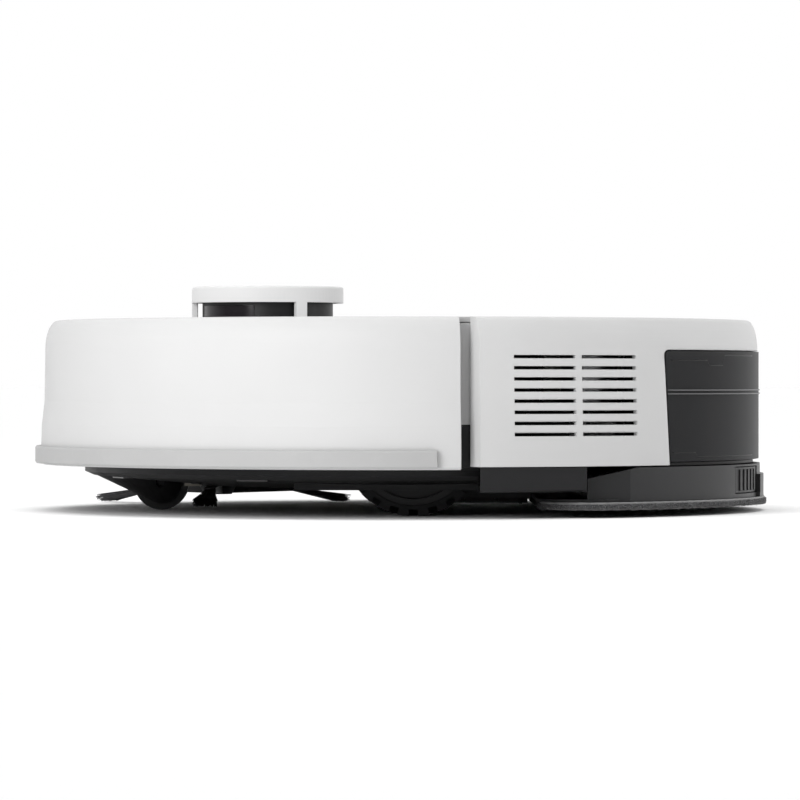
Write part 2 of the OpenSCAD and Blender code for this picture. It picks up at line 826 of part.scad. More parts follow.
module hub(s) color([0.25, 0.25, 0.26]) side(s) {
  y0 = tyre_y + 1;
  y1 = track_out / 2 - 1.5;
  difference() {
    rod_y(rim_r, wheel_x, wheel_r, y0, y1);
    rod_y(axle_r + fit, wheel_x, wheel_r, y0 - cut, y1 - 1);
    difference() {
      rod_y(rim_r - 3, wheel_x, wheel_r, y1 - 4, y1 + cut);
      rod_y(9, wheel_x, wheel_r, y1 - 4 - cut, y1 + 2 * cut);
    }
  }
}

module tyre(s) color([0.08, 0.08, 0.08]) side(s) {
  translate([wheel_x, tyre_y, wheel_r]) rotate([-90, 0, 0])
    difference() {
      cylinder(r = wheel_r, h = tyre_w);
      translate([0, 0, -cut]) cylinder(r = rim_r, h = tyre_w + 2 * cut);
      for (row = [0, 1], i = [0 : lugs - 1])
        rotate([0, 0, (i + row / 2) * 360 / lugs])
          translate([wheel_r - tread, -2, row == 0 ? -cut : tyre_w / 2 + 0.6])
            cube([tread + cut, 4, tyre_w / 2 + cut - 0.6]);
    }
}

module left_arm() arm(1);

module right_arm() arm(-1);

module left_spring() spring(1);

module right_spring() spring(-1);

module left_hub() hub(1);

module right_hub() hub(-1);

module left_tyre() tyre(1);

module right_tyre() tyre(-1);

// Caster

module caster_fork() color([0.16, 0.16, 0.17]) {
  half = caster_w / 2 + 0.6;
  difference() {
    union() {
      rod_z(swivel_r, swivel_x, 0, swivel_z, swivel_top);
      rod_z(stem_r, swivel_x, 0, swivel_top - 1, stem_top);
      hull() {
        translate([swivel_x, 0, swivel_z]) cylinder(r = swivel_r - 1, h = 0.5, $fn = 32);
        translate([caster_x, -half - cheek_t, caster_r]) rotate([-90, 0, 0])
          cylinder(r = cheek_r, h = 2 * (half + cheek_t), $fn = 32);
      }
    }
    rod_y(caster_r + 1, caster_x, caster_r, -half, half);
    span([caster_x - caster_r - 1, -half, -cut], [caster_x + caster_r + 1, half, caster_r]);
    rod_y(caster_pin_r + fit, caster_x, caster_r, -swivel_r, swivel_r);
  }
}

module caster_wheel() color([0.1, 0.1, 0.1]) {
  rod_y(caster_r, caster_x, caster_r, -caster_w / 2, caster_w / 2);
  rod_y(caster_pin_r, caster_x, caster_r, -caster_w / 2 - 3, caster_w / 2 + 3);
}

// Side brush

module side_brush_motor() color([0.3, 0.3, 0.31]) {
  difference() {
    union() {
      rod_z(side_gear_r, side_x, side_y, side_boss_z, side_boss_z + 14);
      rod_z(10, side_x, side_y, side_boss_z + 14, side_boss_z + 28);
    }
    rod_z(side_shaft_r + fit, side_x, side_y, side_boss_z - cut, side_boss_z + 10);
  }
}

module side_brush_hub() color([0.12, 0.12, 0.12]) {
  translate([side_x, side_y, 0]) {
    rotate_extrude()
      polygon([[0, side_hub_z], [side_hub_r - 4, side_hub_z], [side_hub_r - 1, side_hub_z + 5],
               [side_hub_r, side_hub_z + 6], [side_hub_r, side_hub_top], [side_shaft_r, side_hub_top],
               [side_shaft_r, side_boss_z + 8], [0, side_boss_z + 8]]);
    for (a = side_angles)
      rotate([0, 0, a]) rotate([90, 0, 0]) translate([0, 0, -3]) linear_extrude(height = 6)
        polygon([[4, side_hub_z + 0.5], [side_arm, side_arm_z], [side_arm, side_arm_z + 3],
                 [10, side_hub_z + 5.5], [4, side_hub_z + 5.5]]);
  }
}

module side_brush_bristles() color([0.1, 0.1, 0.1]) {
  for (a = side_angles)
    translate([side_x, side_y, 0]) rotate([0, 0, a])
      hull() {
        translate([side_arm, -3, side_arm_z]) cube([1, 6, 3]);
        translate([side_reach - 1, -6.3, side_tip_z]) cube([1, 12.6, side_tip_h]);
      }
}

// Main brush

module brush_housing() color([0.14, 0.14, 0.15]) {
  difference() {
    span([house_x0, -house_half, floor_z], [house_x1, house_half, house_top]);
    rod_y(roller_tunnel, roller_x, roller_z, -house_half + wall, house_half - wall);
    span([roller_x - roller_tunnel, -house_half + wall, floor_z - cut],
         [roller_x + roller_tunnel, house_half - wall, roller_z]);
    span([house_x0 - cut, -mouth_w / 2, mouth_z0], [roller_x, mouth_w / 2, mouth_z1]);
  }
}

module brush_guard() color([0.15, 0.15, 0.16]) {
  difference() {
    span([house_x0, -house_half, guard_z], [house_x1 - 1, house_half, base_z]);
    span([house_x0 + 4, -house_half + 4, guard_z - cut], [house_x1 - 4, house_half - 4, base_z + cut]);
  }
  for (y = bar_ys)
    span([house_x0 + 1, y - bar_w / 2, bar_z], [house_x1 - 4.5, y + bar_w / 2, guard_z]);
}

module scraper() color([0.2, 0.2, 0.2])
  for (i = [0 : 4]) {
    edges = concat([-house_half + 4 - bar_gap / 2], bar_ys, [house_half - 4 + bar_gap / 2]);
    span([house_x0 + 4, edges[i] + bar_gap / 2, bar_z - 0.2],
         [house_x0 + 5.2, edges[i + 1] - bar_gap / 2, base_z - 1]);
  }

module brush_bearings() color([0.3, 0.3, 0.3])
  both() difference() {
    rod_y(min(7, roller_z - base_z - 1), roller_x, roller_z, roller_len / 2 + 0.5, house_half - wall);
    rod_y(roller_pin_r + fit, roller_x, roller_z, roller_len / 2, house_half - wall - 0.5);
  }

module main_brush_motor() color([0.7, 0.7, 0.7]) {
  rod_y(10, roller_x, house_top + 10, -house_half, -house_half + 34);
  span([roller_x - 12, -house_half, house_top], [roller_x + 12, -house_half + 6, house_top + 20]);
}

module main_brush_core() color([0.2, 0.2, 0.2]) {
  rod_y(core_r, roller_x, roller_z, -roller_len / 2, roller_len / 2);
  rod_y(roller_pin_r, roller_x, roller_z, -roller_len / 2 - 2.6, roller_len / 2 + 2.6);
}

module main_brush_fins() color([0.25, 0.25, 0.25]) {
  edges = concat([-roller_len / 2 - bar_gap / 2], bar_ys, [roller_len / 2 + bar_gap / 2]);
  translate([roller_x, 0, roller_z])
    difference() {
      for (a = [0 : 60 : 300], i = [0 : 4])
        rotate([0, a, 0])
          span([core_r - 0.6, edges[i] + bar_gap / 2, -1.4],
               [roller_r - 0.1, edges[i + 1] - bar_gap / 2, 1.4]);
      rod_y(core_r, 0, 0, -roller_len, roller_len);
    }
}

// Dust bin and fan

module dust_bin() color([0.25, 0.25, 0.27, 0.9]) {
  difference() {
    span([bin_x0, bin_y0, tray_top], [bin_x1, bin_y1, bin_top]);
    span([bin_x0 + bin_wall, bin_y0 + bin_wall, tray_top + bin_wall],
         [bin_x1 - bin_wall, bin_y1 - bin_wall, bin_top - bin_wall]);
    span([bin_x1 - bin_wall - cut, -mouth_w / 2, mouth_z0],
         [bin_x1 + cut, mouth_w / 2, mouth_z1]);
    span([bin_x0 + 6, bin_y1 - bin_wall - cut, tray_top + 8],
         [bin_x1 - 6, bin_y1 + cut, bin_top - 8]);
  }
  difference() {
    span([bin_x0 + 14, -30, bin_top], [bin_x1 - 14, 30, bin_top + 4.5]);
    span([bin_x0 + 13, -24, bin_top - cut], [bin_x1 - 13, 24, bin_top + 2.5]);
  }
}

module dust_filter() color([0.85, 0.85, 0.82]) {
  difference() {
    span([bin_x0 + 2, bin_y1, tray_top + 4], [bin_x1 - 2, bin_y1 + filter_t, bin_top - 4]);
    for (x = [bin_x0 + 6 : 5 : bin_x1 - 8])
      span([x, bin_y1 + 5, tray_top + 8], [x + 2, bin_y1 + filter_t + cut, bin_top - 8]);
  }
}

module fan_housing() color([0.18, 0.18, 0.19]) {
  difference() {
    rod_z(fan_r, fan_x, fan_y, fan_z, fan_z + fan_h);
    rod_z(fan_r - 3, fan_x, fan_y, fan_z + 2, fan_z + fan_h - 2);
    rod_z(12, fan_x, fan_y, fan_z - cut, fan_z + 3);
    rod_z(2, fan_x, fan_y, fan_z + 3, fan_z + fan_h + cut);
    span([fan_x - 16, fan_y + 10, fan_z + 4], [fan_x + 10, fan_y + fan_r + cut, fan_z + fan_h - 4]);
  }
}

module fan_motor() color([0.7, 0.7, 0.7])
  difference() {
    rod_z(13, fan_x, fan_y, fan_z + fan_h, fan_z + fan_h + 22);
    rod_z(1.5 + fit, fan_x, fan_y, fan_z + fan_h - cut, fan_z + fan_h + 8);
  }

module fan_impeller() color([0.85, 0.85, 0.85])
  translate([fan_x, fan_y, fan_z + 4]) {
    cylinder(r = impeller_r, h = 1.5);
    cylinder(r = 6, h = 11);
    cylinder(r = 1.5, h = fan_h + 2);
    for (a = [0 : 40 : 320])
      rotate([0, 0, a]) translate([5, 0, 0]) cube([impeller_r - 6, 1.2, 9]);
  }

module exhaust_duct() color([0.3, 0.3, 0.3]) {
  z0 = vent_z0 - 5;
  z1 = vent_z0 + vent_rows * vent_pitch;
  difference() {
    arc_ring(body_r - 14, deck_r - 0.2, z0, z1, duct_a0, duct_a1 - duct_a0);
    arc_ring(body_r - 16, deck_r + cut, z0 + 2, z1 - 2, duct_a0 + 0.6, duct_a1 - duct_a0 - 1.2);
  }
}

module water_pump() color([0.3, 0.3, 0.32]) {
  rod_z(11, -102, -112, tray_top, tray_top + 22);
  rod_z(2.5, -102, -112, tray_top + 22, tray_top + 28);
}

// Water tank

// The tank's outline from the side, shrunk all round by an inset
module tank_outline(inset) {
  x1 = tank_x - inset;
  z0 = tank_z + inset;
  z1 = tank_top - inset;
  polygon([[-body_r - 9, z0], [x1 - tank_rake, z0], [x1, z1 - tank_corner],
           [x1 - tank_corner, z1], [-body_r - 9, z1]]);
  translate([x1 - tank_corner, z1 - tank_corner]) circle(r = tank_corner);
}

module tank_body(inset, r) {
  intersection() {
    cylinder(r = r, h = top_z, $fn = 180);
    rotate([90, 0, 0]) linear_extrude(height = 2 * body_r, center = true) tank_outline(inset);
  }
}

module tank() color([0.16, 0.16, 0.17, 0.6]) {
  difference() {
    union() {
      tank_body(0, tank_r);
      intersection() {
        tank_body(0, tank_r + 0.5);
        for (z = [weld_z, weld_z + weld_h - 0.6]) rod_z(body_r, 0, 0, z, z + 0.6);
      }
    }
    difference() {
      tank_body(tank_wall, tank_r - tank_wall);
      span([-body_r, -latch_w / 2 - 3, latch_z - latch_h / 2 - 3],
           [latch_pocket_x + tank_wall, latch_w / 2 + 3, latch_z + latch_h / 2 + 3]);
    }
    span([-body_r - cut, -latch_w / 2 - 0.5, latch_z - latch_h / 2 - 0.5],
         [latch_pocket_x, latch_w / 2 + 0.5, latch_z + latch_h / 2 + 0.5]);
    translate([plug_x - tank_wall - 1.5, plug_y, plug_z]) rotate([0, 90, 0])
      cylinder(r = plug_r, h = tank_wall + 6);
  }
  translate([plug_x - tank_wall, plug_y, plug_z]) rotate([0, 90, 0]) difference() {
    cylinder(r = plug_r + 2, h = tank_wall);
    translate([0, 0, -cut]) cylinder(r = plug_r, h = tank_wall + 2 * cut);
  }
}

module tank_plug() color([0.1, 0.1, 0.1])
  translate([plug_x, plug_y, plug_z]) rotate([0, 90, 0]) {
    translate([0, 0, -tank_wall]) cylinder(r = plug_r, h = tank_wall);
    cylinder(r = plug_r + 3, h = 1.4);
  }

module tank_latch() color([0.12, 0.12, 0.12])
  intersection() {
    span([-body_r, -latch_w / 2, latch_z - latch_h / 2],
         [latch_pocket_x - latch_travel - 0.4, latch_w / 2, latch_z + latch_h / 2]);
    cylinder(r = tank_r - 0.6, h = tank_top, $fn = 360);
  }

// Mop

module plate_plan(r, x) {
  intersection() {
    circle(r = r, $fn = 128);
    polygon([[-body_r, -body_r], [plate_slope_x + x, -body_r], [plate_slope_x + x, x - body_r + 38],
             [plate_x + x, x - body_r + 32], [plate_x + x, body_r - 32 - x],
             [plate_slope_x + x, body_r - 38 - x], [plate_slope_x + x, body_r],
             [-body_r, body_r]]);
  }
}

module keys(grow, r0, r1) {
  for (a = [key_start, 360 - key_start - key_sweep])
    arc_ring(r0, r1, key_z0 - grow, key_z1 + grow, a - grow, key_sweep + 2 * grow);
}

module mop_plate() color([0.14, 0.14, 0.14]) {
  difference() {
    union() {
      translate([0, 0, plate_z]) linear_extrude(height = plate_top - plate_z)
        plate_plan(plate_r, 0);
      translate([0, 0, plate_z]) linear_extrude(height = flange_t)
        intersection() {
          circle(r = plate_r - 2, $fn = 128);
          rounded([-body_r, -pad_half + 6], [flange_x, pad_half - 6], pad_corner);
        }
      intersection() {
        rod_z(body_r, 0, 0, plate_z + 0.2, plate_z + 11);
        span([-body_r - cut, -38, 0], [-body_r + 20, 38, plate_top]);
      }
    }
    translate([0, 0, plate_z + plate_skin]) linear_extrude(height = plate_top)
      difference() {
        plate_plan(plate_r - 12, -plate_skin);
        for (y = [-100 : 40 : 100]) translate([-body_r, y]) square([body_r, plate_skin - 1]);
      }
    translate([plate_slope_x, 0, plate_top]) rotate([0, 12, 0])
      span([0, -body_r, 0], [60, body_r, 20]);
    keys(0.4, body_r - 10, body_r + cut);
  }
}

module mop_pad() color([0.3, 0.3, 0.32])
  translate([0, 0, plate_z - pad_t]) linear_extrude(height = pad_t)
    intersection() {
      circle(r = body_r, $fn = 128);
      rounded([-body_r - pad_corner, -pad_half], [pad_x, pad_half], pad_corner);
    }

module mop_key(a) color([0.2, 0.2, 0.2]) {
  arc_ring(body_r - 6.5, body_r - 2.2, key_z0, key_z1, a, key_sweep);
  for (i = [1 : 5])
    arc_ring(body_r - 4, body_r - 1.6, key_z0 + 1, key_z1 - 1, a + i * 2.05 - 0.35, 0.9);
}

module left_mop_button() mop_key(key_start);

module right_mop_button() mop_key(360 - key_start - key_sweep);

chassis_base();
mid_frame();
top_cover();
battery();
battery_door();
main_board();
lds_base();
lds_motor();
drive_belt();
turret_cap();
pivot_pins();
side_brush_motor();
brush_housing();
brush_guard();
scraper();
brush_bearings();
main_brush_motor();
dust_bin();
dust_filter();
fan_housing();
fan_motor();
exhaust_duct();
water_pump();
speaker();
charge_contacts();
cliff_sensors();
bumper_switches();
bumper_springs();
screws();
bumper();
bumper_strip();
sensor_windows();
lid();
power_button();
home_button();
lds_rotor();
rotor_window();
motor_pulley();
left_arm();
left_spring();
left_hub();
left_tyre();
right_arm();
right_spring();
right_hub();
right_tyre();
caster_fork();
caster_wheel();
side_brush_hub();
side_brush_bristles();
main_brush_core();
main_brush_fins();
fan_impeller();
tank();
tank_plug();
tank_latch();
mop_plate();
mop_pad();
left_mop_button();
right_mop_button();
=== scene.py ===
import json
import math
import random

import bmesh
import bpy
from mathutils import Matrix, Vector, noise


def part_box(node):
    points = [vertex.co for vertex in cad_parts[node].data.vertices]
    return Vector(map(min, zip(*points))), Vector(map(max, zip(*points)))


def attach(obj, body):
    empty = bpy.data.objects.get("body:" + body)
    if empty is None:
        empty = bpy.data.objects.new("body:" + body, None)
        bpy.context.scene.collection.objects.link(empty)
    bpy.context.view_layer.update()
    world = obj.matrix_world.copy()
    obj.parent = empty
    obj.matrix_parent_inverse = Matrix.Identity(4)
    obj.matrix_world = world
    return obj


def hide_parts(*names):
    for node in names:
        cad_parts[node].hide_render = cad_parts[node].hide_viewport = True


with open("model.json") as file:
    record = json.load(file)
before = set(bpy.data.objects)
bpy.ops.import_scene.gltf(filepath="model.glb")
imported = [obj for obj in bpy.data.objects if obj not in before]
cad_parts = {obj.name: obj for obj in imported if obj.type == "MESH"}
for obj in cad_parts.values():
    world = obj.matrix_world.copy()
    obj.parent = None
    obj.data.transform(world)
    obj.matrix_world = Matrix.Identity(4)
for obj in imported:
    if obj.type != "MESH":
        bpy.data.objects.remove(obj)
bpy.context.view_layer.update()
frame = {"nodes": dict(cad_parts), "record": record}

nodes = frame["nodes"]
mm = 0.001

# camera first: level with the body's side, far enough back for a flat view
cameraView = {
    "distance": 2.234,
    "eyeHeight": 0.0623,
    "lens": 206.8,
    "sensor": 36,
    "tiltDown": 0.237,
    "shift": 0.00075,
    "farClip": 200,
}


def makeCamera():
    view = cameraView
    data = bpy.data.cameras.new("camera")
    data.lens = view["lens"]
    data.sensor_width = view["sensor"]
    data.shift_x = view["shift"]
    data.clip_end = view["farClip"]
    camera = bpy.data.objects.new("camera", data)
    camera.location = (0, view["distance"], view["eyeHeight"])
    camera.rotation_euler = (math.radians(90 - view["tiltDown"]), 0, math.radians(180))
    bpy.context.scene.collection.objects.link(camera)
    bpy.context.scene.camera = camera


makeCamera()
print("camera placed")


# shader maths: a wire is one output that can be added to, taken from or multiplied

class Wire:
    def __init__(self, finish, socket):
        self.finish = finish
        self.socket = socket

    def maths(self, operation, first, second):
        return self.finish.node("ShaderNodeMath", {"operation": operation}, {0: first, 1: second})

    def __add__(self, other):
        return self.maths("ADD", self, other)

    def __radd__(self, other):
        return self.maths("ADD", other, self)

    def __sub__(self, other):
        return self.maths("SUBTRACT", self, other)

    def __rsub__(self, other):
        return self.maths("SUBTRACT", other, self)

    def __mul__(self, other):
        return self.maths("MULTIPLY", self, other)

    def __rmul__(self, other):
        return self.maths("MULTIPLY", other, self)


class Finish:
    def __init__(self, name):
        self.material = bpy.data.materials.new(name)
        self.material.use_nodes = True
        self.tree = self.material.node_tree
        self.shader = self.tree.nodes["Principled BSDF"]

    def feed(self, socket, value):
        if isinstance(value, Wire):
            self.tree.links.new(value.socket, socket)
        elif hasattr(socket.default_value, "__len__") and len(socket.default_value) == 4:
            socket.default_value = (*value[:3], 1.0)
        else:
            socket.default_value = value

    def node(self, kind, settings=None, sockets=None, out=0):
        made = self.tree.nodes.new(kind)
        for key, value in (settings or {}).items():
            if key == "stops":
                ramp = made.color_ramp.elements
                while len(ramp) < len(value):
                    ramp.new(0.5)
                for stop, (at, level) in zip(ramp, value):
                    stop.position = at
                    stop.color = (level, level, level, 1)
            else:
                setattr(made, key, value)
        for key, value in (sockets or {}).items():
            self.feed(made.inputs[key], value)
        return Wire(self, made.outputs[out])

    def place(self):
        return self.node("ShaderNodeTexCoord", out="Object")

    def speckle(self, scale, detail=3, rough=0.55, stretch=(1, 1, 1)):
        spread = self.node("ShaderNodeMapping", {}, {"Vector": self.place(), "Scale": stretch})
        sockets = {"Vector": spread, "Scale": scale, "Detail": detail, "Roughness": rough}
        return self.node("ShaderNodeTexNoise", {"noise_dimensions": "3D"}, sockets, out="Fac")

    def ramp(self, value, stops):
        return self.node("ShaderNodeValToRGB", {"stops": stops}, {"Fac": value})

    def mix(self, amount, first, second):
        settings = {"data_type": "RGBA", "clamp_factor": True}
        return self.node("ShaderNodeMix", settings, {0: amount, 6: first, 7: second}, out=2)

    def rounded(self, radius):
        return self.node("ShaderNodeBevel", {"samples": 4}, {"Radius": radius})

    def relief(self, height, strength, depth, edge=0.0):
        sockets = {"Height": height, "Strength": strength, "Distance": depth}
        if edge:
            sockets["Normal"] = self.rounded(edge)
        return self.node("ShaderNodeBump", {}, sockets)

    def shade(self, **values):
        for key, value in values.items():
            self.feed(self.shader.inputs[key.replace("_", " ")], value)
        return self.material


# finishes: each has its own values, used by every piece that wears it

shellLook = {
    "tone": (0.57, 0.57, 0.57),
    "warmth": 0.965,
    "rough": 0.5,
    "patchy": 0.07,
    "shine": 0.22,
    "cloud": 14,
    "cloudStops": [(0.35, 0), (0.7, 1)],
    "grain": 2600,
    "grainRelief": (0.05, 0.02 * mm),
    "edge": 0.5 * mm,
}


def satinWhite(name="satinWhite", tone=shellLook["tone"], rough=shellLook["rough"]):
    look = shellLook
    f = Finish(name)
    cloud = f.speckle(look["cloud"], 2)
    grain = f.speckle(look["grain"], 2)
    warm = [c * look["warmth"] for c in tone]
    return f.shade(Base_Color=f.mix(f.ramp(cloud, look["cloudStops"]), tone, warm),
                   Roughness=rough + look["patchy"] * (cloud - 0.5),
                   Specular_IOR_Level=look["shine"],
                   Normal=f.relief(grain, *look["grainRelief"], look["edge"]))


plasticLook = {
    "worn": 0.012,
    "shine": 0.5,
    "patchy": 0.12,
    "cloud": 25,
    "cloudShare": 0.35,
    "cloudShade": 0.8,
    "scuffs": 60,
    "scuffStretch": (1, 1, 0.25),
    "scuffStops": [(0.58, 0), (0.75, 1)],
    "scuffShare": 0.35,
    "scuffRough": 0.06,
    "grain": 1500,
    "grainRelief": (0.18, 0.05 * mm),
    "edge": 0.4 * mm,
}


def mouldedPlastic(name, tone, rough, worn=plasticLook["worn"], shine=plasticLook["shine"]):
    look = plasticLook
    f = Finish(name)
    grain = f.speckle(look["grain"], 3)
    cloud = f.speckle(look["cloud"], 3)
    scuff = f.ramp(f.speckle(look["scuffs"], 6, 0.7, look["scuffStretch"]), look["scuffStops"])
    colour = f.mix(scuff * look["scuffShare"], tone, [min(1, c + worn) for c in tone])
    colour = f.mix(cloud * look["cloudShare"], colour, [c * look["cloudShade"] for c in tone])
    return f.shade(Base_Color=colour, Specular_IOR_Level=shine,
                   Roughness=rough + look["patchy"] * (cloud - 0.5) + look["scuffRough"] * scuff,
                   Normal=f.relief(grain, *look["grainRelief"], look["edge"]))


glossLook = {
    "tones": ((0.006, 0.005, 0.007), (0.016, 0.013, 0.016)),
    "haze": 40,
    "rough": 0.06,
    "hazeRough": 0.08,
    "edge": 0.2 * mm,
}


def glossBlack():
    look = glossLook
    f = Finish("glossBlack")
    haze = f.speckle(look["haze"], 4)
    return f.shade(Base_Color=f.mix(haze, *look["tones"]),
                   Roughness=look["rough"] + look["hazeRough"] * haze,
                   Normal=f.rounded(look["edge"]))


tankLook = {
    "tone": (0.021, 0.021, 0.022),
    "clear": 0.94,
    "rough": 0.34,
    "shine": 0.05,
    "cloud": 18,
    "cloudLight": 1.25,
    "cloudClear": 0.06,
    "cloudRough": 0.08,
    "edge": 0.5 * mm,
}


def smokedTank():
    look = tankLook
    f = Finish("smokedTank")
    f.material.blend_method = "BLEND"
    cloud = f.speckle(look["cloud"], 3)
    pale = [c * look["cloudLight"] for c in look["tone"]]
    return f.shade(Base_Color=f.mix(cloud, look["tone"], pale),
                   Roughness=look["rough"] + look["cloudRough"] * cloud,
                   Specular_IOR_Level=look["shine"],
                   Alpha=look["clear"] + look["cloudClear"] * (cloud - 0.5),
                   Normal=f.rounded(look["edge"]))


rubberLook = {
    "rough": 0.62,
    "patchy": 0.15,
    "shine": 0.25,
    "cloud": 35,
    "cloudShare": 0.3,
    "cloudShade": 0.75,
    "dust": 120,
    "dusty": 0.025,
    "dustShare": 0.6,
    "dustStops": [(0.52, 0), (0.8, 1)],
    "grain": 900,
    "grainRelief": (0.3, 0.08 * mm),
    "edge": 0.4 * mm,
}


def softRubber(name, tone, rough=rubberLook["rough"], dusty=rubberLook["dusty"]):
    look = rubberLook
    f = Finish(name)
    grain = f.speckle(look["grain"], 4)
    cloud = f.speckle(look["cloud"], 3)
    dust = f.ramp(f.speckle(look["dust"], 6, 0.75), look["dustStops"])
    colour = f.mix(dust * look["dustShare"], tone, [min(1, c + dusty) for c in tone])
    colour = f.mix(cloud * look["cloudShare"], colour, [c * look["cloudShade"] for c in tone])
    return f.shade(Base_Color=colour, Roughness=rough + look["patchy"] * (grain - 0.5),
                   Specular_IOR_Level=look["shine"],
                   Normal=f.relief(grain, *look["grainRelief"], look["edge"]))


clothLook = {
    "tones": ((0.02, 0.02, 0.022), (0.08, 0.08, 0.084)),
    "cloud": 160,
    "loops": 900,
    "loopRelief": (0.8, 0.5 * mm),
    "stripes": 38,
    "stripeWander": 1.2,
    "stripeTone": (0.05, 0.05, 0.055),
    "stripeShare": 0.3,
    "rough": 0.9,
    "patchy": 0.08,
    "sheen": 0.5,
}


def microfibre():
    look = clothLook
    f = Finish("microfibre")
    loops = f.node("ShaderNodeTexVoronoi", {"feature": "F1"},
                   {"Vector": f.place(), "Scale": look["loops"]})
    cloud = f.speckle(look["cloud"], 5, 0.7)
    stripe = f.node("ShaderNodeTexWave", {"wave_type": "BANDS", "bands_direction": "X"},
                    {"Vector": f.place(), "Scale": look["stripes"],
                     "Distortion": look["stripeWander"], "Detail": 2})
    colour = f.mix(stripe * look["stripeShare"], f.mix(cloud, *look["tones"]), look["stripeTone"])
    return f.shade(Base_Color=colour, Roughness=look["rough"] + look["patchy"] * (cloud - 0.5),
                   Sheen_Weight=look["sheen"], Sheen_Roughness=look["sheen"],
                   Normal=f.relief(loops, *look["loopRelief"]))


yarnLook = {"cloud": 300, "sheen": 0.4, "rough": 0.75, "patchy": 0.2, "relief": (0.3, 0.1 * mm)}


def yarn(name, tones):
    look = yarnLook
    f = Finish(name)
    cloud = f.speckle(look["cloud"], 4)
    return f.shade(Base_Color=f.mix(cloud, *tones), Sheen_Weight=look["sheen"],
                   Roughness=look["rough"] + look["patchy"] * (cloud - 0.5),
                   Normal=f.relief(cloud, *look["relief"]))


hairLook = {
    "tones": ((0.03, 0.03, 0.032), (0.085, 0.085, 0.088)),
    "cloud": 220,
    "rough": 0.36,
    "patchy": 0.2,
    "relief": (0.2, 0.05 * mm),
}


def nylonHair():
    look = hairLook
    f = Finish("nylonHair")
    cloud = f.speckle(look["cloud"], 3)
    return f.shade(Base_Color=f.mix(cloud, *look["tones"]),
                   Roughness=look["rough"] + look["patchy"] * (cloud - 0.5),
                   Normal=f.relief(cloud, *look["relief"]))


metalLook = {
    "cloud": 30,
    "cloudShade": 0.82,
    "streaks": 300,
    "streakRelief": (0.15, 0.05 * mm),
    "patchy": 0.2,
    "edge": 0.25 * mm,
}


def brushedMetal(name, tone, rough, stretch=(1, 1, 30)):
    look = metalLook
    f = Finish(name)
    streak = f.speckle(look["streaks"], 4, 0.6, stretch)
    cloud = f.speckle(look["cloud"], 2)
    return f.shade(Base_Color=f.mix(cloud, tone, [c * look["cloudShade"] for c in tone]),
                   Metallic=1.0, Roughness=rough + look["patchy"] * (streak - 0.5),
                   Normal=f.relief(streak, *look["streakRelief"], look["edge"]))


boardLook = {
    "bare": (0.012, 0.12, 0.05),
    "tracked": (0.05, 0.28, 0.12),
    "shaded": (0.0, 0.05, 0.02),
    "trackShare": 0.6,
    "cloudShare": 0.2,
    "tracks": 120,
    "trackWidth": 0.08,
    "trackRelief": (0.3, 0.1 * mm),
    "cloud": 50,
    "rough": 0.35,
    "cloudRough": 0.1,
}


def circuitBoard():
    look = boardLook
    f = Finish("circuitBoard")
    track = f.node("ShaderNodeTexBrick", {"offset": 0.5},
                   {"Vector": f.place(), "Scale": look["tracks"],
                    "Mortar Size": look["trackWidth"]}, out="Fac")
    cloud = f.speckle(look["cloud"], 2)
    colour = f.mix(track * look["trackShare"], look["bare"], look["tracked"])
    return f.shade(Base_Color=f.mix(cloud * look["cloudShare"], colour, look["shaded"]),
                   Roughness=look["rough"] + look["cloudRough"] * cloud,
                   Normal=f.relief(track, *look["trackRelief"]))


paperLook = {
    "tones": ((0.72, 0.71, 0.66), (0.9, 0.89, 0.85)),
    "pulp": 700,
    "pulpRelief": (0.4, 0.15 * mm),
    "rough": 0.9,
    "patchy": 0.1,
}


def filterPaper():
    look = paperLook
    f = Finish("filterPaper")
    pulp = f.speckle(look["pulp"], 6, 0.7)
    return f.shade(Base_Color=f.mix(pulp, *look["tones"]),
                   Roughness=look["rough"] + look["patchy"] * (pulp - 0.5),
                   Normal=f.relief(pulp, *look["pulpRelief"]))


finishes = {
    "white_shell": satinWhite(),
    "light_grey": mouldedPlastic("lightGreyPlastic", (0.52, 0.52, 0.52), 0.5, 0.03),
    "soft_strip": softRubber("stripRubber", (0.42, 0.42, 0.42), 0.55, 0.04),
    "black_plastic": mouldedPlastic("blackPlastic", (0.012, 0.012, 0.013), 0.45, shine=0.22),
    "dark_grey": mouldedPlastic("darkPlastic", (0.016, 0.016, 0.017), 0.42, shine=0.28),
    "gloss_black": glossBlack(),
    "smoked": smokedTank(),
    "rubber": softRubber("blackRubber", (0.012, 0.012, 0.013)),
    "tyre": softRubber("tyreRubber", (0.014, 0.014, 0.015), 0.7),
    "microfibre": microfibre(),
    "bristle": nylonHair(),
    "steel": brushedMetal("brushedSteel", (0.6, 0.6, 0.62), 0.32),
    "motor_can": brushedMetal("motorCan", (0.66, 0.66, 0.68), 0.38, (1, 30, 1)),
    "contact": brushedMetal("contactPlate", (0.17, 0.16, 0.14), 0.4, (1, 8, 1)),
    "board_green": circuitBoard(),
    "cell_wrap": mouldedPlastic("cellWrap", (0.03, 0.08, 0.17), 0.35),
    "filter_paper": filterPaper(),
    "spring_steel": brushedMetal("springSteel", (0.5, 0.5, 0.52), 0.3),
}

# pieces that look unlike the rest of their slot
nodeFinishes = {
    # turret cap: a lighter copy of the shell's white, painted light that makes the cap read
    # brighter than the shell
    "turret_cap": satinWhite("capWhitePaintedLight", (0.76, 0.76, 0.76), 0.5),
    "mop_plate": mouldedPlastic("platePlastic", (0.02, 0.02, 0.021), 0.4, shine=0.3),
    "screws": brushedMetal("screwSteel", (0.3, 0.3, 0.31), 0.35),
    "side_brush_hub": mouldedPlastic("brushArms", (0.05, 0.05, 0.05), 0.45, shine=0.5),
    "caster_wheel": softRubber("casterRubber", (0.035, 0.035, 0.036), 0.4),
}


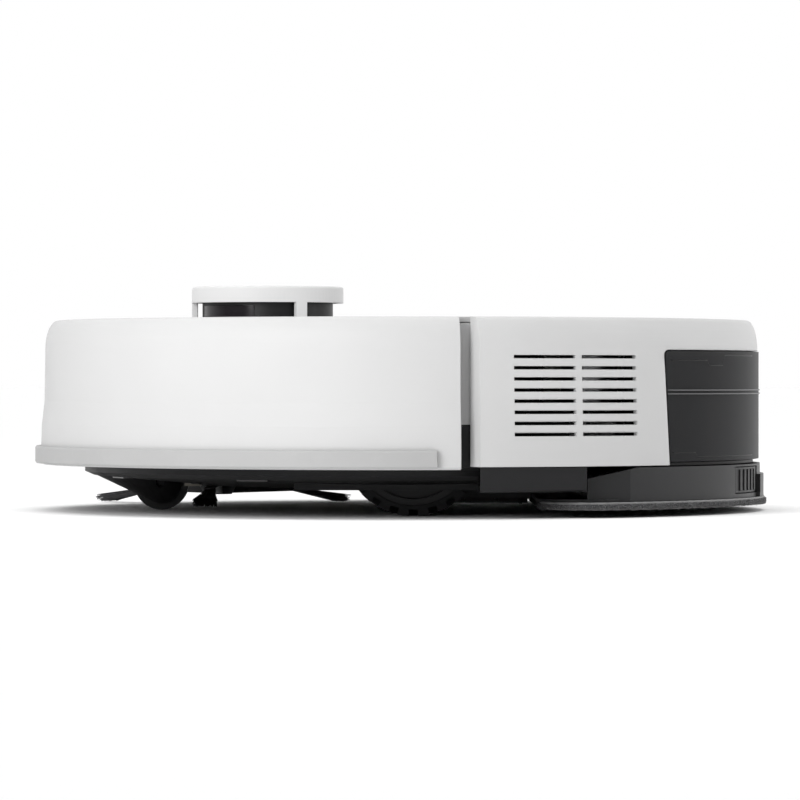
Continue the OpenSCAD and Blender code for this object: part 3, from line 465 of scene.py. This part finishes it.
def dressNodes():
    for part in frame["record"]["subparts"]:
        node = nodes[part["node"]]
        material = nodeFinishes.get(part["node"], finishes[part["material_slot"]])
        if not node.material_slots:
            node.data.materials.append(material)
        for slot in node.material_slots:
            slot.material = material


dressNodes()
print("finishes made:", len(finishes) + len(nodeFinishes))


# mesh helpers

def addPiece(name, mesh, slotName, body, finish=None):
    data = bpy.data.meshes.new(name)
    bmesh.ops.recalc_face_normals(mesh, faces=mesh.faces)
    mesh.to_mesh(data)
    mesh.free()
    data.materials.append(finish or finishes[slotName])
    for face in data.polygons:
        face.use_smooth = True
    piece = bpy.data.objects.new(name, data)
    bpy.context.scene.collection.objects.link(piece)
    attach(piece, body)
    return piece


def joinLoops(mesh, a, b):
    for i in range(len(a)):
        j = (i + 1) % len(a)
        mesh.faces.new((a[i], a[j], b[j], b[i]))


def addRings(mesh, rings):  # a skin over the rings, closed at both ends
    loops = [[mesh.verts.new(p) for p in ring] for ring in rings]
    for a, b in zip(loops, loops[1:]):
        joinLoops(mesh, a, b)
    mesh.faces.new(list(reversed(loops[0])))
    mesh.faces.new(loops[-1])


def addStrand(mesh, path, radii, sides=3):
    rings = []
    for i, point in enumerate(path):
        along = (path[min(i + 1, len(path) - 1)] - path[max(i - 1, 0)]).normalized()
        side = along.orthogonal().normalized()
        other = along.cross(side)
        turns = [2 * math.pi * k / sides for k in range(sides)]
        rings.append([point + radii[i] * (math.cos(t) * side + math.sin(t) * other) for t in turns])
    addRings(mesh, rings)


def middle(node):
    low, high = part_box(node)
    return (low + high) / 2


# mop pad: the soft body, loose threads round its edge, and a paler sewn edge on top

padLook = {
    "corner": 22 * mm,
    "arcSteps": 220,
    "cornerSteps": 14,
    "frontSteps": 60,
    "underRings": 10,
    "layers": [(1.6, 0.0), (0.5, 0.1), (0.0, 0.3), (0.0, 0.7), (0.45, 0.92), (1.5, 1.0)],
    "fluff": 0.35 * mm,
    "lumps": (420, 1300),
    "lumpShare": 0.6,
    "fluffUp": 0.5,
    "ridgeUp": 0.35,
    "ridgePitch": 7 * mm,
    "lift": 0.2 * mm,
    "topGap": 0.05 * mm,
}


def padOutline(inset):
    look = padLook
    low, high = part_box("mop_pad")
    radius = -low.x - inset
    half = high.y - inset
    corner = look["corner"] - inset
    cx = high.x - look["corner"]
    cy = high.y - look["corner"]
    points = []
    for i in range(look["cornerSteps"] + 1):
        t = math.pi / 2 * i / look["cornerSteps"]
        points.append((cx + corner * math.cos(t), cy + corner * math.sin(t)))
    start = math.pi - math.asin(min(1, half / radius))
    for i in range(look["arcSteps"] + 1):
        t = start + (2 * math.pi - 2 * start) * i / look["arcSteps"]
        points.append((radius * math.cos(t), radius * math.sin(t)))
    for i in range(look["cornerSteps"] + 1):
        t = -math.pi / 2 + math.pi / 2 * i / look["cornerSteps"]
        points.append((cx + corner * math.cos(t), -cy + corner * math.sin(t)))
    for i in range(1, look["frontSteps"]):
        points.append((high.x - inset, -cy + 2 * cy * i / look["frontSteps"]))
    return points


def makePad():
    look = padLook
    low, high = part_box("mop_pad")
    thick = high.z - low.z
    middleX = (low.x + high.x) / 2
    firstInset = look["layers"][0][0]
    mesh = bmesh.new()
    rings = []
    for k in range(look["underRings"], 0, -1):
        scale = 1 - k / (look["underRings"] + 1)
        rings.append([(middleX + (x - middleX) * scale, y * scale, low.z)
                      for x, y in padOutline(firstInset * mm)])
    for inset, level in look["layers"]:
        rings.append([(x, y, low.z + level * thick) for x, y in padOutline(inset * mm)])
    addRings(mesh, rings)
    broad, fine = look["lumps"]
    for v in mesh.verts:
        soft = noise.noise(v.co * broad) + look["lumpShare"] * noise.noise(v.co * fine)
        under = v.co.z < low.z + 0.1 * mm
        ridge = math.sin(v.co.x / look["ridgePitch"] * 2 * math.pi) if under else 0
        v.co.z += look["fluff"] * (look["fluffUp"] * soft + look["ridgeUp"] * ridge) + look["lift"]
        reach = math.hypot(v.co.x, v.co.y)
        v.co.x += v.co.x / reach * look["fluff"] * soft
        v.co.y += v.co.y / reach * look["fluff"] * soft
        v.co.z = min(v.co.z, high.z - look["topGap"])
    pad = addPiece("mopPad", mesh, "microfibre", "mop")
    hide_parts("mop_pad")


fringeLook = {
    "strands": 5200,
    "inset": 0.3 * mm,
    "height": (0.12, 0.8),
    "length": (0.8 * mm, 2.0 * mm),
    "bend": 0.55,
    "droop": (-0.9, 0.3),
    "curl": 0.5,
    "curlUp": (-1, 0.4),
    "floorGap": 0.1 * mm,
    "thick": (0.09 * mm, 0.17 * mm),
    "taper": (1, 0.9, 0.4),
    "tones": ((0.03, 0.03, 0.032), (0.16, 0.16, 0.165)),
    "seed": 4,
}


def makePadFringe():
    look = fringeLook
    rng = random.Random(look["seed"])
    low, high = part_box("mop_pad")
    outline = padOutline(look["inset"])
    inside = Vector(((low.x + high.x) / 2, 0))
    mesh = bmesh.new()
    for _ in range(look["strands"]):
        i = rng.randrange(len(outline))
        a, b = Vector(outline[i]), Vector(outline[(i + 1) % len(outline)])
        spot = a.lerp(b, rng.random())
        out = Vector((b.y - a.y, a.x - b.x)).normalized()
        if out.dot(spot - inside) < 0:
            out = -out
        height = low.z + (high.z - low.z) * rng.uniform(*look["height"])
        start = Vector((spot.x, spot.y, height))
        length = rng.uniform(*look["length"])
        away = Vector((out.x, out.y, rng.uniform(*look["droop"]))).normalized()
        curl = Vector((rng.uniform(-1, 1), rng.uniform(-1, 1), rng.uniform(*look["curlUp"])))
        half = start + away * length * look["bend"]
        onward = (away + curl * look["curl"]).normalized()
        end = half + onward * length * (1 - look["bend"])
        end.z = max(end.z, low.z + look["floorGap"])
        thick = rng.uniform(*look["thick"])
        addStrand(mesh, [start, half, end], [thick * k for k in look["taper"]])
    addPiece("mopPadFringe", mesh, "microfibre", "mop", yarn("yarnGrey", look["tones"]))


pipingLook = {
    "radius": 0.55 * mm,
    "drop": 0.25 * mm,
    "inset": 0.1 * mm,
    "sides": 6,
    "uneven": 0.12,
    "beat": 1.7,
    "tones": ((0.08, 0.08, 0.082), (0.24, 0.24, 0.24)),
}


def makePadPiping():
    look = pipingLook
    up = Vector((0, 0, 1))
    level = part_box("mop_pad")[1].z - look["drop"]
    outline = [Vector((x, y, level)) for x, y in padOutline(look["inset"])]
    count = len(outline)
    turns = [2 * math.pi * k / look["sides"] for k in range(look["sides"])]
    mesh = bmesh.new()
    loops = []
    for i, point in enumerate(outline):
        along = (outline[(i + 1) % count] - outline[i - 1]).normalized()
        side = along.cross(up).normalized()
        radius = look["radius"] * (1 + look["uneven"] * math.sin(i * look["beat"]))
        loops.append([mesh.verts.new(point + radius * (math.cos(t) * side + math.sin(t) * up))
                      for t in turns])
    for i in range(count):
        joinLoops(mesh, loops[i], loops[(i + 1) % count])
    addPiece("mopPadPiping", mesh, "microfibre", "mop", yarn("yarnPale", look["tones"]))


makePad()
makePadFringe()
makePadPiping()
print("mop pad made")


# side brush: three tufts that fan out from their moulded arms

sideLook = {
    "angles": (87, 207, 327),
    "hairs": 420,
    "root": 41 * mm,
    "rootHalfWide": 2.3 * mm,
    "rootHalfTall": 1.1 * mm,
    "armHeight": 7.7 * mm,
    "reach": (67.5 * mm, 72.9 * mm),
    "cornerCut": 2 * mm,
    "tipHeight": (0.5 * mm, 4.0 * mm),
    "spread": 6.1 * mm,
    "flare": 1.6,
    "droop": 0.9,
    "wave": 0.5 * mm,
    "waveTurn": 3,
    "thick": 0.28 * mm,
    "taper": (1, 1, 1, 0.85, 0.5),
    "seed": 7,
}


def makeSideBristles():
    look = sideLook
    rng = random.Random(look["seed"])
    centre = middle("side_brush_motor")
    steps = len(look["taper"]) - 1
    mesh = bmesh.new()
    for angle in look["angles"]:
        turn = math.radians(angle)
        ahead = Vector((math.cos(turn), math.sin(turn), 0))
        across = Vector((-ahead.y, ahead.x, 0))
        for _ in range(look["hairs"]):
            side = rng.uniform(-1, 1)
            length = rng.uniform(*look["reach"]) - (1 - abs(side)) * look["cornerCut"]
            startSide = side * look["rootHalfWide"]
            endSide = side * look["spread"]
            startHigh = look["armHeight"] + rng.uniform(-1, 1) * look["rootHalfTall"]
            endHigh = rng.uniform(*look["tipHeight"])
            wave = rng.uniform(-1, 1) * look["wave"]
            path = []
            for k in range(steps + 1):
                t = k / steps
                r = look["root"] + (length - look["root"]) * t
                y = startSide + (endSide - startSide) * t ** look["flare"]
                y += wave * math.sin(look["waveTurn"] * t)
                z = startHigh + (endHigh - startHigh) * t ** look["droop"]
                spot = r * ahead + y * across
                path.append(Vector((centre.x + spot.x, centre.y + spot.y, z)))
            addStrand(mesh, path, [look["thick"] * k for k in look["taper"]])
    tufts = addPiece("sideBristles", mesh, "bristle", "side_brush")
    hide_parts("side_brush_bristles")


makeSideBristles()
print("side brush bristles made")


# main brush: six rows of short hair with gaps for the guard's bars

rollerLook = {
    "rows": 6,
    "pitch": 1.9 * mm,
    "margins": (0.8 * mm, 0.6 * mm),
    "hairs": 7,
    "rootRadius": 7.6 * mm,
    "tip": (16.2 * mm, 17.35 * mm),
    "lean": 0.9 * mm,
    "rootLean": 0.6,
    "slide": 0.7 * mm,
    "rootSlide": 0.4,
    "bars": (-48 * mm, -16 * mm, 16 * mm, 48 * mm),
    "gap": 2.9 * mm,
    "thick": 0.17 * mm,
    "taper": (1, 1, 0.6),
    "seed": 11,
}


def makeMainBristles():
    look = rollerLook
    rng = random.Random(look["seed"])
    low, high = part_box("main_brush_fins")
    centre = middle("main_brush_core")
    before, after = look["margins"]
    radii = [look["thick"] * k for k in look["taper"]]
    mesh = bmesh.new()
    for row in range(look["rows"]):
        turn = 2 * math.pi * row / look["rows"]
        out = Vector((math.cos(turn), 0, -math.sin(turn)))
        across = Vector((-out.z, 0, out.x))
        y = low.y + before
        while y < high.y - after:
            clear = all(abs(y - bar) > look["gap"] for bar in look["bars"])
            for _ in range(look["hairs"] if clear else 0):
                lean = rng.uniform(-1, 1) * look["lean"]
                slide = rng.uniform(-1, 1) * look["slide"]
                root = look["rootRadius"] * out + look["rootLean"] * lean * across
                tip = rng.uniform(*look["tip"]) * out + lean * across
                path = []
                for t in (0, 0.5, 1):
                    spot = root.lerp(tip, t)
                    along = y + slide * (look["rootSlide"] + (1 - look["rootSlide"]) * t)
                    path.append(Vector((centre.x + spot.x, along, centre.z + spot.z)))
                addStrand(mesh, path, radii)
            y += look["pitch"]
    rows = addPiece("mainBristles", mesh, "bristle", "main_brush")
    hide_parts("main_brush_fins")


makeMainBristles()
print("main brush bristles made")


# tank: the pale weld lines where its two halves meet

weldLook = {
    "heights": (56.1 * mm, 57.8 * mm),
    "tall": 0.6 * mm,
    "out": 0.06 * mm,
    "deep": 0.5 * mm,
    "frontInset": 1.2 * mm,
    "steps": 160,
    "tone": (0.075, 0.075, 0.078),
}


def makeWelds():
    look = weldLook
    low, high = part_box("tank")
    radius = -low.x + look["out"]
    inner = radius - look["deep"]
    half = math.acos((high.x - look["frontInset"]) / radius)
    mesh = bmesh.new()
    for bottom in look["heights"]:
        top = bottom + look["tall"]
        rings = []
        for i in range(look["steps"] + 1):
            t = half + (2 * math.pi - 2 * half) * i / look["steps"]
            rings.append([(r * math.cos(t), r * math.sin(t), z)
                          for r, z in ((inner, bottom), (radius, bottom),
                                       (radius, top), (inner, top))])
        addRings(mesh, rings)
    finish = mouldedPlastic("weldLine", look["tone"], 0.4, 0.03)
    addPiece("tankWelds", mesh, "smoked", "tank", finish)


makeWelds()
print("tank weld lines made")


# tank: painted shadow lines, thin near-black strips just inside the smoked wall where the inner
# parts' shadow gaps show through

shadowLineLook = {
    "wide": 0.45 * mm,
    "inset": 0.45 * mm,
    "innerShare": 0.997,
    "step": 1.0 * mm,
    "tone": (0.006, 0.006, 0.006),
    "upper": ((-125, 71.6), (-143, 71.6), (-144, 69.4), (-151, 69.4), (-152, 74.0), (-168, 74.0)),
    "lower": ((-125.6, 29.0), (-137, 29.0), (-138, 27.0), (-168, 27.0)),
}


def makeShadowLines():
    look = shadowLineLook
    radius = -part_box("tank")[0].x - look["inset"]
    mesh = bmesh.new()
    for corners in (look["upper"], look["lower"]):
        path = []
        for (x0, z0), (x1, z1) in zip(corners, corners[1:]):
            count = max(2, round(abs(x1 - x0) * mm / look["step"]))
            for i in range(count):
                t = i / count
                path.append(((x0 + (x1 - x0) * t) * mm, (z0 + (z1 - z0) * t) * mm))
        path.append((corners[-1][0] * mm, corners[-1][1] * mm))
        for side in (1, -1):
            rings = []
            for x, z in path:
                y = side * math.sqrt(radius ** 2 - x ** 2)
                rings.append([(x * k, y * k, z + lift) for k, lift in
                              ((look["innerShare"], 0), (1, 0), (1, look["wide"]),
                               (look["innerShare"], look["wide"]))])
            addRings(mesh, rings)
    # near-black tone: painted shadow standing in for the shadow gaps behind the smoked wall
    finish = mouldedPlastic("paintedShadowLine", look["tone"], 0.4, 0.002, shine=0.2)
    addPiece("tankShadowLines", mesh, "smoked", "tank", finish)


makeShadowLines()
print("tank inner edges made")


# floor, world and lights: a wide pale sheet, a bright wall behind and two soft lamps

stageLook = {
    "half": 40,
    "floorTone": (0.96, 0.96, 0.96),
    "floorShade": 0.985,
    "floorCloud": 3,
    "floorRough": 0.85,
    "floorShine": 0.1,
    "behind": 1.0,
    "beside": 0.1,
    "fade": (-0.7, 0.2),
    "sun": 2.0,
    "sunAngle": 70,
    "lamps": {"key": (4.2, 30), "fill": (1.7, -82)},
    "lampHeight": 22,
    "lampDistance": 0.9,
    "lampSize": 0.45,
    "lampAim": (0.02, 0.1, 0.05),
}


def makeFloor():
    look = stageLook
    half = look["half"]
    mesh = bmesh.new()
    corners = [(-half, -half), (half, -half), (half, half), (-half, half)]
    mesh.faces.new([mesh.verts.new((x, y, 0)) for x, y in corners])
    data = bpy.data.meshes.new("floor")
    mesh.to_mesh(data)
    mesh.free()
    f = Finish("paleFloor")
    tone = look["floorTone"]
    shaded = [c * look["floorShade"] for c in tone]
    colour = f.mix(f.speckle(look["floorCloud"], 2), tone, shaded)
    data.materials.append(f.shade(Base_Color=colour, Roughness=look["floorRough"],
                                  Specular_IOR_Level=look["floorShine"]))
    floor = bpy.data.objects.new("floor", data)
    bpy.context.scene.collection.objects.link(floor)


def makeWorld():
    look = stageLook
    world = bpy.data.worlds.new("studio")
    bpy.context.scene.world = world
    world.use_nodes = True
    tree = world.node_tree
    place = tree.nodes.new("ShaderNodeTexCoord")
    split = tree.nodes.new("ShaderNodeSeparateXYZ")
    spread = tree.nodes.new("ShaderNodeMapRange")
    levels = zip(("From Min", "From Max", "To Min", "To Max"),
                 (*look["fade"], look["behind"], look["beside"]))
    for key, level in levels:
        spread.inputs[key].default_value = level
    tree.links.new(place.outputs["Generated"], split.inputs[0])
    tree.links.new(split.outputs["Y"], spread.inputs["Value"])
    tree.links.new(spread.outputs["Result"], tree.nodes["Background"].inputs["Color"])


def addLamp(name, kind, power):
    data = bpy.data.lights.new(name, kind)
    data.energy = power
    lamp = bpy.data.objects.new(name, data)
    bpy.context.scene.collection.objects.link(lamp)
    return lamp


def makeLights():
    look = stageLook
    overhead = addLamp("overhead", "SUN", look["sun"])
    overhead.data.angle = math.radians(look["sunAngle"])
    tilt, reach = math.radians(look["lampHeight"]), look["lampDistance"]
    for name, (power, angle) in look["lamps"].items():
        lamp = addLamp(name, "AREA", power)
        lamp.data.shape = "DISK"
        lamp.data.size = look["lampSize"]
        turn = math.radians(angle)
        lamp.location = (reach * math.cos(tilt) * math.sin(turn),
                         reach * math.cos(tilt) * math.cos(turn), reach * math.sin(tilt))
        toward = Vector(look["lampAim"]) - lamp.location
        lamp.rotation_euler = toward.to_track_quat("-Z", "Y").to_euler()


makeFloor()
makeWorld()
makeLights()
bpy.context.scene.view_settings.view_transform = "Standard"
print("floor, world and lights made")
